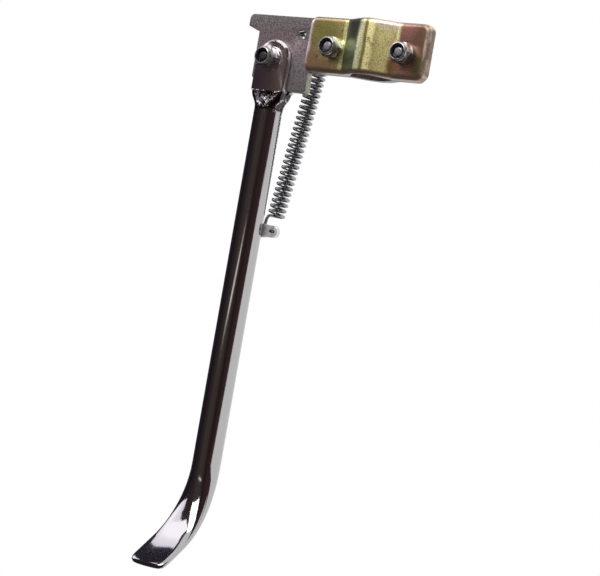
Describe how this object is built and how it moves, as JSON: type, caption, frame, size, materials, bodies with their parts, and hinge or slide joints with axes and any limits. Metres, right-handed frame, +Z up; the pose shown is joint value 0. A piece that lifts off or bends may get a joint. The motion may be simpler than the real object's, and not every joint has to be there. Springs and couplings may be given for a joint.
{
  "type": "bicycle kickstand",
  "caption": "Clamp-on bicycle side stand: a chromed tube leg with a forked head and flattened toe, pivoted on a bracket with a tube clamp and an over-centre return spring.",
  "frame": {"origin": "on the axis of the clamped frame tube, half way up the clamp", "axes": "+Z up along the tube with the leg stowed downwards, +X from the leg's pivot towards the tube, -Y outwards from the bike, to the side where the nuts are"},
  "size_m": [0.1125, 0.0579, 0.2875],
  "materials": {
    "chrome": "polished chrome plate",
    "grey_zinc": "grey zinc plate, slightly mottled",
    "yellow_zinc": "yellow passivated zinc with green and pink tints",
    "hardware_zinc": "bright zinc plate",
    "spring_steel": "zinc-plated spring wire",
    "insert_plastic": "dark locking ring"
  },
  "bodies": {
    "bracket": {"bracket_plate": "grey_zinc", "clamp_plate": "yellow_zinc", "clamp_bolt_left": "hardware_zinc", "clamp_nut_left": "hardware_zinc", "clamp_nut_insert_left": "insert_plastic", "clamp_washer_left": "hardware_zinc", "clamp_back_washer_left": "hardware_zinc", "clamp_bolt_right": "hardware_zinc", "clamp_nut_right": "hardware_zinc", "clamp_nut_insert_right": "insert_plastic", "clamp_washer_right": "hardware_zinc", "clamp_back_washer_right": "hardware_zinc"},
    "leg": {"leg": "chrome", "spring_lug": "chrome", "pivot_bolt": "hardware_zinc", "pivot_nut": "hardware_zinc", "pivot_nut_insert": "insert_plastic", "pivot_washer": "hardware_zinc", "pivot_back_washer": "hardware_zinc"},
    "spring": {"return_spring": "spring_steel"}
  },
  "joints": [
    {"name": "leg_pivot", "type": "hinge", "parent": "bracket", "child": "leg", "pos_m": [-0.0598, 0.00385, -0.00925], "axis": [0, 1, 0], "range_deg": [0, 104], "deforming": ["return_spring"]},
    {"name": "spring_swing", "type": "hinge", "parent": "bracket", "child": "spring", "pos_m": [-0.04567, 0.00385, 0.0049], "axis": [0, 1, 0], "range_deg": [0, 86.24]}
  ],
  "couplings": [
    {"joint": "spring_swing", "follows": "leg_pivot", "ratio": 0.82824}
  ]
}
